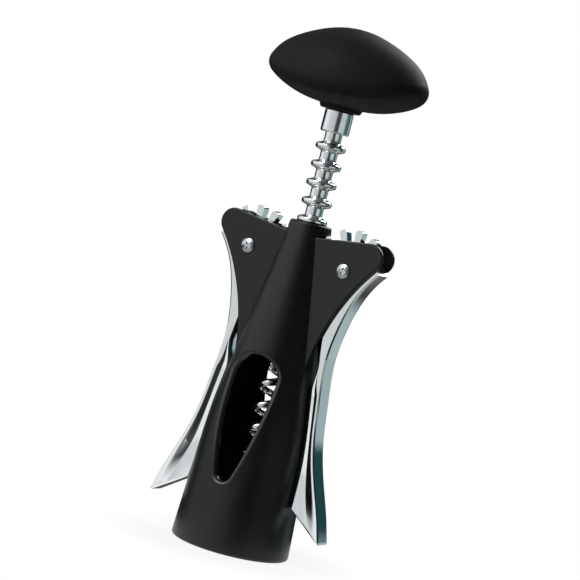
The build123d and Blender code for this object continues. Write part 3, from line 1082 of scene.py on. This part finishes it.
@dataclass
class Spindle:
    """The rack shaft with its ring teeth, and the ferrule under the knob."""

    pitch: float = 6.1
    ring_count: int = 9
    ring_radius: float = 5.0
    core_radius: float = 2.85
    pitch_radius: float = 4.1
    ring_width: float = 2.2
    flank_degrees: float = 20.0
    ring_round: float = 0.75
    root_round: float = 0.4
    top_gap: float = 4.7
    step_rise: float = 1.5
    thread_radius: float = 2.5
    land_rise: float = 6.5
    land_length: float = 6.0
    land_root_round: float = 0.1
    neck_radius: float = 2.3
    neck_length: float = 5.1
    sharp_degrees: float = 32.0

    def rack_tree(self) -> bpy.types.NodeTree:
        """Tree that repeats one ring down the shaft and joins the shaft's ends to it.

        Returns:
            The tree, with inputs Ring, Count, Top, Pitch and Material.
        """
        tree, entry = new_tree(
            "rack_rings",
            {
                "Ring": "NodeSocketObject",
                "Count": "NodeSocketInt",
                "Top": "NodeSocketFloat",
                "Pitch": "NodeSocketFloat",
                "Material": "NodeSocketMaterial",
            },
        )
        ring = add_node(tree, "GeometryNodeObjectInfo", {"Object": entry.outputs["Ring"]})
        start = add_node(tree, "ShaderNodeCombineXYZ", {"Z": entry.outputs["Top"]})
        down = add_node(
            tree, "ShaderNodeMath", {0: entry.outputs["Pitch"], 1: -1.0}, operation="MULTIPLY"
        )
        step = add_node(tree, "ShaderNodeCombineXYZ", {"Z": down.outputs[0]})
        line = add_node(
            tree,
            "GeometryNodeMeshLine",
            {
                "Count": entry.outputs["Count"],
                "Start Location": start.outputs[0],
                "Offset": step.outputs[0],
            },
            mode="OFFSET",
        )
        rings = add_node(
            tree,
            "GeometryNodeInstanceOnPoints",
            {"Points": line.outputs[0], "Instance": ring.outputs["Geometry"]},
        )
        whole = add_node(tree, "GeometryNodeJoinGeometry", {0: rings.outputs[0]})
        tree.links.new(entry.outputs["Geometry"], whole.inputs[0])
        end_tree(tree, whole.outputs[0], entry.outputs["Material"])
        return tree

    def ring_profile(self) -> list[Point]:
        """Outline of one pitch of the rack, about the middle of its ring.

        Returns:
            Radius and height of each point, from the top down.
        """
        core, crown, half = self.core_radius, self.ring_radius, self.pitch / 2
        slope = math.tan(math.radians(self.flank_degrees))
        foot = self.ring_width / 2 + (self.pitch_radius - core) * slope
        head = self.ring_width / 2 - (crown - self.pitch_radius) * slope
        return rounded(
            [
                (core, half, 0.0),
                (core, foot, self.root_round),
                (crown, head, self.ring_round),
                (crown, -head, self.ring_round),
                (core, -foot, self.root_round),
                (core, -half, 0.0),
            ]
        )

    def end_profiles(self, low: float, high: float, seat_height: float) -> list[list[Point]]:
        """Outlines of the shaft above its top ring and below its last one.

        Args:
            low: height of the shaft's lower end.
            high: height of its threaded top.
            seat_height: height of the ferrule's underside.

        Returns:
            Radius and height of each point of the two outlines, from the top down.
        """
        core, crown, edge, root = self.core_radius, self.ring_radius, self.ring_round, self.land_root_round
        step = seat_height + self.step_rise
        rack_top = seat_height - self.top_gap + self.pitch / 2
        land = low + self.land_rise
        land_top = land + self.land_length
        neck = low + self.neck_length
        upper = [
            (0.0, high),
            (self.thread_radius, high),
            (self.thread_radius, step),
            (core, step),
            (core, rack_top),
        ]
        lower = [
            (core, rack_top - self.ring_count * self.pitch, 0.0),
            (core, land_top, root),
            (crown, land_top, edge),
            (crown, land, edge),
            (core, land, root),
            (core, neck, 0.0),
            (self.neck_radius, neck, 0.0),
            (self.neck_radius, low, 0.0),
            (0.0, low, 0.0),
        ]
        return [upper, rounded(lower)]

    def build(self, frame: dict, finishes: dict) -> None:
        """Make the rack from its ring and ends, smooth the ferrule, and dress both.

        Args:
            frame: the loaded frame.
            finishes: material of each slot.
        """
        low, high = (corner.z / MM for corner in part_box("rack_shaft"))
        seat_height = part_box("ferrule")[0].z / MM
        bm = bmesh.new()
        for profile in self.end_profiles(low, high, seat_height):
            lathe(bm, profile)
        rack = new_piece("turned_rack", bm)
        ring_mesh = bmesh.new()
        lathe(ring_mesh, self.ring_profile())
        ring = new_piece("rack_ring", ring_mesh)
        values = {
            "Ring": ring,
            "Count": self.ring_count,
            "Top": (seat_height - self.top_gap) * MM,
            "Pitch": self.pitch * MM,
            "Material": finishes[Slot.SPINDLE],
        }
        grow(rack, self.rack_tree(), values)
        bpy.data.objects.remove(ring)
        close_up(rack, self.sharp_degrees)
        seat(rack, Body.SPINDLE, ["rack_shaft"])
        ferrule = smooth_copy(frame["nodes"]["ferrule"], "turned_ferrule")
        dress(ferrule, finishes[Slot.SPINDLE])
        seat(ferrule, Body.SPINDLE, ["ferrule"])


@dataclass
class Worm:
    """The wire worm: a straight shank that swings out into a coil and ends in a point."""

    pitch: float = 7.4
    coil_radius: float = 3.45
    wire_radius: float = 1.25
    point_radius: float = 0.12
    point_turn: float = 0.17
    shank_length: float = 10.9
    end_drop: float = 0.9
    path_points: int = 420
    wire_sides: int = 20
    sharp_degrees: float = 50.0

    def tree(self) -> bpy.types.NodeTree:
        """Tree that bends a line into the worm's path and draws the wire along it.

        Returns:
            The tree, with inputs for the worm's sizes and its material.
        """
        sizes = ("Start", "Turns", "Shank", "Pitch", "Coil", "Wire", "Point", "Point Share")
        kinds = {size: "NodeSocketFloat" for size in sizes}
        tree, entry = new_tree("wire_worm", {**kinds, "Material": "NodeSocketMaterial"})
        given = entry.outputs
        line = add_node(tree, "GeometryNodeCurvePrimitiveLine")
        path = add_node(
            tree, "GeometryNodeResampleCurve", {"Curve": line.outputs[0], "Count": self.path_points}
        )
        share = add_node(tree, "GeometryNodeSplineParameter").outputs["Factor"]
        total = add_node(tree, "ShaderNodeMath", {0: given["Turns"], 1: given["Shank"]}, operation="ADD")
        turned = add_node(tree, "ShaderNodeMath", {0: share, 1: total.outputs[0]}, operation="MULTIPLY")
        turn = add_node(
            tree, "ShaderNodeMath", {0: turned.outputs[0], 1: given["Shank"]}, operation="SUBTRACT"
        ).outputs[0]
        radius = add_node(
            tree,
            "ShaderNodeMapRange",
            {"Value": turn, "From Min": 0.0, "From Max": 1.0, "To Min": 0.0, "To Max": given["Coil"]},
            interpolation_type="SMOOTHSTEP",
        ).outputs[0]
        angle = add_node(
            tree, "ShaderNodeMath", {0: turn, 1: -2 * math.pi}, operation="MULTIPLY"
        ).outputs[0]
        cosine = add_node(tree, "ShaderNodeMath", {0: angle}, operation="COSINE")
        sine = add_node(tree, "ShaderNodeMath", {0: angle}, operation="SINE")
        x = add_node(tree, "ShaderNodeMath", {0: radius, 1: cosine.outputs[0]}, operation="MULTIPLY")
        y = add_node(tree, "ShaderNodeMath", {0: radius, 1: sine.outputs[0]}, operation="MULTIPLY")
        drop = add_node(tree, "ShaderNodeMath", {0: turn, 1: given["Pitch"]}, operation="MULTIPLY")
        z = add_node(
            tree, "ShaderNodeMath", {0: given["Start"], 1: drop.outputs[0]}, operation="SUBTRACT"
        )
        spot = add_node(
            tree, "ShaderNodeCombineXYZ", {"X": x.outputs[0], "Y": y.outputs[0], "Z": z.outputs[0]}
        )
        coil = add_node(
            tree, "GeometryNodeSetPosition", {"Geometry": path.outputs[0], "Position": spot.outputs[0]}
        )
        taper = add_node(
            tree,
            "ShaderNodeMapRange",
            {
                "Value": share,
                "From Min": given["Point Share"],
                "From Max": 1.0,
                "To Min": given["Wire"],
                "To Max": given["Point"],
            },
        )
        section = add_node(
            tree, "GeometryNodeCurvePrimitiveCircle", {"Resolution": self.wire_sides, "Radius": 1.0}
        )
        wire = add_node(
            tree,
            "GeometryNodeCurveToMesh",
            {
                "Curve": coil.outputs[0],
                "Profile Curve": section.outputs[0],
                "Scale": taper.outputs[0],
                "Fill Caps": True,
            },
        )
        end_tree(tree, wire.outputs[0], given["Material"])
        return tree

    def build(self, frame: dict, finishes: dict) -> None:
        """Draw the worm, dress it and seat it.

        Args:
            frame: the loaded frame; not used.
            finishes: material of each slot.
        """
        low, high = (corner.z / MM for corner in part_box("worm"))
        start = high - self.shank_length
        turns = (start - low - self.end_drop) / self.pitch
        shank = self.shank_length / self.pitch
        values = {
            "Start": start * MM,
            "Turns": turns,
            "Shank": shank,
            "Pitch": self.pitch * MM,
            "Coil": self.coil_radius * MM,
            "Wire": self.wire_radius * MM,
            "Point": self.point_radius * MM,
            "Point Share": 1 - self.point_turn / (turns + shank),
            "Material": finishes[Slot.WORM],
        }
        worm = grow(new_piece("wire_worm", bmesh.new()), self.tree(), values)
        close_up(worm, self.sharp_degrees)
        seat(worm, Body.SPINDLE, ["worm"])


@dataclass
class PivotHardware:
    """The cross-recess screws at the front of the pivots and the sleeve nuts at the back."""

    screw_seed: int = 4
    nut_seed: int = 9

    def build(self, frame: dict, finishes: dict) -> None:
        """Stand a copy of each fastener on both pivots, dress the copies and seat them.

        Args:
            frame: the loaded frame.
            finishes: material of each slot.
        """
        tree = copies_tree()
        pivots = [Vector(joint["pos_m"]) for joint in frame["joints"] if joint["name"].endswith("_pivot")]
        right = max(pivots, key=lambda pivot: pivot.x)
        for kind, name, seed in (
            ("pivot_screw", "pan_screws", self.screw_seed),
            ("pivot_barrel", "sleeve_nuts", self.nut_seed),
        ):
            bm = merged_copy(frame["nodes"][f"{kind}_{Side.RIGHT.label}"])
            bmesh.ops.translate(bm, verts=bm.verts, vec=-right)
            original = new_piece(f"{kind}_original", bm)
            points = bmesh.new()
            for pivot in pivots:
                points.verts.new(pivot)
            piece = new_piece(name, points)
            values = {"Original": original, "Seed": seed, "Material": finishes[Slot.SCREW]}
            grow(piece, tree, values)
            bpy.data.objects.remove(original)
            close_up(piece, SHARP_DEGREES)
            seat(piece, Body.FRAME, [f"{kind}_{side.label}" for side in Side])


@dataclass(frozen=True)
class Lamp:
    """A square soft lamp: its name, its power in watts, its side and its place in metres."""

    name: str
    power: float
    size: float
    place: tuple[float, float, float]


@dataclass
class Studio:
    """Camera, light, floor and background of the photograph.

    Lengths are in millimetres, apart from those of the lamps, and angles in degrees. The room's tones
    stand in three tiers, by how steeply a ray rises, over the ground and under the roof, and each rise
    is where one tier gives way to the next. The floor shows its share of plain white as far as the
    shadow's radius, and nothing but white at its edge.
    """

    azimuth: float = 26.4
    elevation: float = 3.2
    roll: float = 14.25
    distance: float = 700.0
    aim_height: float = 85.9
    aim_side: float = -1.4
    view_width: float = 188.0
    sensor: float = 36.0
    clip_start: float = 10.0
    floor_radius: float = 44.0
    shadow_radius: float = 28.0
    floor_share: float = 0.86
    floor_sides: int = 96
    paper: str = "#f4f4f3"
    lamp_aim: tuple[float, float, float] = (0.0, 0.0, 0.08)
    hung: tuple[Lamp, ...] = (
        Lamp("key", 4.0, 0.5, (-0.35, -0.6, 0.75)),
        Lamp("rear", 6.0, 0.6, (0.1, 0.75, 0.7)),
    )
    lower_rise: Point = (-0.6, -0.3)
    level_rise: Point = (-0.14, -0.09)
    upper_rise: Point = (0.035, 0.09)
    roof_rise: Point = (0.5, 0.9)
    roof: str = "#8c8f91"
    ground: str = "#a9a9a7"
    lower_tones: Tones = (
        (-180.0, "#202426"),
        (-92.0, "#2a2e30"),
        (-76.0, "#a8acae"),
        (-62.0, "#f4f6f6"),
        (-35.0, "#f4f6f6"),
        (-20.0, "#b8bcbe"),
        (-8.0, "#4a4c50"),
        (20.0, "#2a2c2e"),
        (60.0, "#0c0d0e"),
        (114.0, "#0c0d0e"),
        (120.0, "#a9bcbd"),
        (134.0, "#a9bcbd"),
        (140.0, "#101415"),
        (180.0, "#202426"),
    )
    level_tones: Tones = (
        (-180.0, "#303a3c"),
        (-172.0, "#182022"),
        (-122.0, "#182022"),
        (-108.0, "#f4f6f6"),
        (-85.0, "#f8fafa"),
        (-60.0, "#d8dcdd"),
        (-40.0, "#cfd4d5"),
        (-14.0, "#c8c8cc"),
        (-6.0, "#6a666c"),
        (2.0, "#48464b"),
        (22.0, "#484a4e"),
        (30.0, "#ccd4d4"),
        (66.0, "#c4d0d0"),
        (78.0, "#5f7978"),
        (112.0, "#3f5c5d"),
        (120.0, "#9fb4b6"),
        (134.0, "#9fb4b6"),
        (142.0, "#3a5658"),
        (180.0, "#303a3c"),
    )
    upper_tones: Tones = (
        (-180.0, "#4a4e50"),
        (-150.0, "#5a5e60"),
        (-115.0, "#e0e2e2"),
        (-85.0, "#ffffff"),
        (-60.0, "#f0f2f2"),
        (-40.0, "#d2d6d8"),
        (-15.0, "#74777a"),
        (10.0, "#26292b"),
        (60.0, "#141718"),
        (98.0, "#141718"),
        (110.0, "#3a4f50"),
        (126.0, "#1f4245"),
        (160.0, "#24484b"),
        (180.0, "#4a4e50"),
    )

    def camera(self) -> None:
        """Stand the camera at the photograph's angle, with its roll."""
        turn = math.radians(self.azimuth)
        rise = math.radians(self.elevation)
        right = Vector((math.cos(turn), math.sin(turn), 0.0))
        back = Vector(
            (math.sin(turn) * math.cos(rise), -math.cos(turn) * math.cos(rise), math.sin(rise))
        )
        up = back.cross(right)
        lean = math.radians(self.roll)
        across = right * math.cos(lean) + up * math.sin(lean)
        upright = up * math.cos(lean) - right * math.sin(lean)
        aim = right * self.aim_side * MM + Vector((0.0, 0.0, self.aim_height * MM))
        place = aim + back * self.distance * MM
        data = bpy.data.cameras.new("camera")
        data.sensor_width = self.sensor
        data.lens = self.sensor * self.distance / self.view_width
        data.clip_start = self.clip_start * MM
        camera = bpy.data.objects.new("camera", data)
        axes = Matrix((across, upright, back)).transposed().to_4x4()
        camera.matrix_world = Matrix.Translation(place) @ axes
        bpy.context.scene.collection.objects.link(camera)
        bpy.context.scene.camera = camera

    def world(self) -> None:
        """Light the room: white to the camera, and to every other ray the room's own tones.

        The tones are pale to the camera's left, dark behind the object, and pale, dark and teal by turns
        on the right.
        """
        world = bpy.data.worlds.new("studio")
        bpy.context.scene.world = world
        world.use_nodes = True
        tree = world.node_tree
        tree.nodes.clear()
        direction = add_node(tree, "ShaderNodeTexCoord").outputs["Generated"]
        parts = add_node(tree, "ShaderNodeSeparateXYZ", {0: direction})
        front = add_node(tree, "ShaderNodeMath", {0: parts.outputs["Y"], 1: -1.0}, operation="MULTIPLY")
        turn = add_node(
            tree, "ShaderNodeMath", {0: parts.outputs["X"], 1: front.outputs[0]}, operation="ARCTAN2"
        )
        offset = add_node(
            tree,
            "ShaderNodeMath",
            {0: turn.outputs[0], 1: math.radians(self.azimuth)},
            operation="SUBTRACT",
        )
        wrapped = add_node(
            tree, "ShaderNodeMath", {0: offset.outputs[0], 1: math.pi, 2: -math.pi}, operation="WRAP"
        )
        share = add_node(
            tree,
            "ShaderNodeMapRange",
            {"Value": wrapped.outputs[0], "From Min": -math.pi, "From Max": math.pi},
        )
        lower, level, upper = (
            self.bands(tree, share.outputs[0], tones)
            for tones in (self.lower_tones, self.level_tones, self.upper_tones)
        )
        tone: Any = linear(self.ground)
        for above, (start, end) in (
            (lower, self.lower_rise),
            (level, self.level_rise),
            (upper, self.upper_rise),
            (linear(self.roof), self.roof_rise),
        ):
            height = add_node(
                tree,
                "ShaderNodeMapRange",
                {"Value": parts.outputs["Z"], "From Min": start, "From Max": end},
                interpolation_type="SMOOTHSTEP",
            )
            tone = add_node(
                tree, "ShaderNodeMix", {0: height.outputs[0], 6: tone, 7: above}, data_type="RGBA"
            ).outputs[2]
        room = add_node(tree, "ShaderNodeBackground", {"Color": tone, "Strength": 1.0})
        white = add_node(tree, "ShaderNodeBackground", {"Color": linear(WHITE), "Strength": 1.0})
        path = add_node(tree, "ShaderNodeLightPath")
        seen = add_node(
            tree,
            "ShaderNodeMixShader",
            {0: path.outputs["Is Camera Ray"], 1: room.outputs[0], 2: white.outputs[0]},
        )
        add_node(tree, "ShaderNodeOutputWorld", {"Surface": seen.outputs[0]})

    def bands(self, tree: bpy.types.NodeTree, share: Any, tones: Tones) -> bpy.types.NodeSocket:
        """Tones of the room round the camera.

        Args:
            tree: the world's tree.
            share: direction to the right of the camera, from 0 to 1 over a whole turn.
            tones: degrees to the right of the camera and colour, in rising order.

        Returns:
            The colour's output.
        """
        ramp = add_node(tree, "ShaderNodeValToRGB", {"Fac": share})
        stops = ramp.color_ramp.elements
        stops.remove(stops[-1])
        for index, (degrees, colour) in enumerate(tones):
            place = (degrees + 180.0) / 360.0
            stop = stops[0] if index == 0 else stops.new(place)
            stop.position = place
            stop.color = linear(colour)
        return ramp.outputs["Color"]

    def floor(self) -> None:
        """Lay a pale floor that keeps the object's shadow."""
        bm = bmesh.new()
        bmesh.ops.create_circle(bm, cap_ends=True, segments=self.floor_sides, radius=self.floor_radius * MM)
        floor = new_piece("floor", bm)
        material = bpy.data.materials.new("pale_paper_floor")
        material.use_nodes = True
        tree = material.node_tree
        tree.nodes.clear()
        paper = add_node(tree, "ShaderNodeBsdfDiffuse", {"Color": linear(self.paper)})
        white = add_node(tree, "ShaderNodeEmission", {"Color": linear(WHITE), "Strength": 1.0})
        path = add_node(tree, "ShaderNodeLightPath")
        shiny = add_node(
            tree,
            "ShaderNodeMath",
            {0: path.outputs["Is Glossy Ray"], 1: path.outputs["Is Transmission Ray"]},
            operation="ADD",
        )
        seen = add_node(
            tree,
            "ShaderNodeMath",
            {0: path.outputs["Is Camera Ray"], 1: shiny.outputs[0]},
            operation="ADD",
            use_clamp=True,
        )
        place = add_node(tree, "ShaderNodeTexCoord").outputs["Object"]
        reach = add_node(tree, "ShaderNodeVectorMath", {0: place}, operation="LENGTH").outputs["Value"]
        share = add_node(
            tree,
            "ShaderNodeMapRange",
            {
                "Value": reach,
                "From Min": self.shadow_radius * MM,
                "From Max": self.floor_radius * MM,
                "To Min": self.floor_share,
                "To Max": 1.0,
            },
        ).outputs[0]
        part = add_node(tree, "ShaderNodeMath", {0: seen.outputs[0], 1: share}, operation="MULTIPLY")
        mixed = add_node(
            tree, "ShaderNodeMixShader", {0: part.outputs[0], 1: paper.outputs[0], 2: white.outputs[0]}
        )
        add_node(tree, "ShaderNodeOutputMaterial", {"Surface": mixed.outputs[0]})
        dress(floor, material)

    def lamps(self) -> None:
        """Hang the soft lamps and turn each towards the object."""
        for hung in self.hung:
            data = bpy.data.lights.new(hung.name, "AREA")
            data.energy = hung.power
            data.size = hung.size
            lamp = bpy.data.objects.new(hung.name, data)
            lamp.location = hung.place
            beam = Vector(self.lamp_aim) - lamp.location
            lamp.rotation_euler = beam.to_track_quat("-Z", "Y").to_euler()
            bpy.context.scene.collection.objects.link(lamp)

    def build(self) -> None:
        """Build the whole studio."""
        bpy.context.scene.view_settings.view_transform = "Standard"
        self.camera()
        self.world()
        self.floor()
        self.lamps()


def main() -> None:
    """Build the corkscrew's pieces around the frame, then the studio."""
    logging.basicConfig(level=logging.INFO, format="%(name)s: %(message)s")
    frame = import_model()
    finishes = {slot: finish.build() for slot, finish in FINISHES.items()}
    slots = {part["node"]: part["material_slot"] for part in frame["record"]["subparts"]}
    for name, node in frame["nodes"].items():
        dress(node, finishes[Slot(slots[name])])
    levers = [Lever(side) for side in Side]
    for assembly in (BodyCasting(), *levers, Knob(), Spindle(), Worm(), PivotHardware()):
        assembly.build(frame, finishes)
    Studio().build()


if __name__ == "__main__":
    main()
